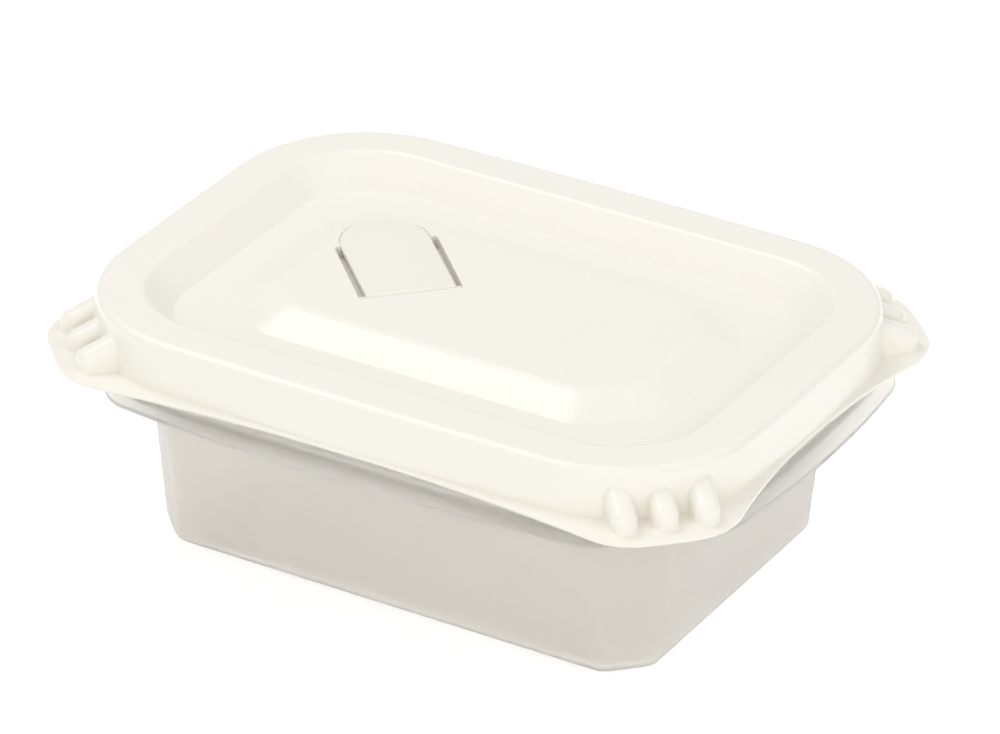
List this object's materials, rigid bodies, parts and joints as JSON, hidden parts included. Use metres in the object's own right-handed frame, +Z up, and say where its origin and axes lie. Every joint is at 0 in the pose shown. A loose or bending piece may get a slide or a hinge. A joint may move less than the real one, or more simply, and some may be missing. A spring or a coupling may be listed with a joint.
{
  "type": "food container",
  "caption": "Rectangular plastic food container with a tapered tub, a lift-off lid with ribbed corner tabs, and a hinged steam vent flap in the lid.",
  "frame": {"origin": "middle of the tub's flat base, at the level of the surface it stands on", "axes": "+X along the long sides, +Y along the short sides, +Z up"},
  "size_m": [0.1604, 0.118, 0.055],
  "materials": {
    "tub_plastic": "frosted, slightly translucent, warm grey",
    "lid_plastic": "soft satin gloss, warm white",
    "flap_plastic": "soft satin gloss, warm white"
  },
  "bodies": {
    "tub": {"tub": "tub_plastic"},
    "lid": {"lid": "lid_plastic"},
    "vent_flap": {"vent_flap": "flap_plastic"}
  },
  "joints": [
    {"name": "lid_lift", "type": "slide", "parent": "tub", "child": "lid", "axis": [0, 0, 1], "range_m": [0, 0.08]},
    {"name": "vent_flap_hinge", "type": "hinge", "parent": "lid", "child": "vent_flap", "pos_m": [-0.01668, -0.00352, 0.0513], "axis": [0.7071, 0.7071, 0], "range_deg": [0, 100]}
  ]
}
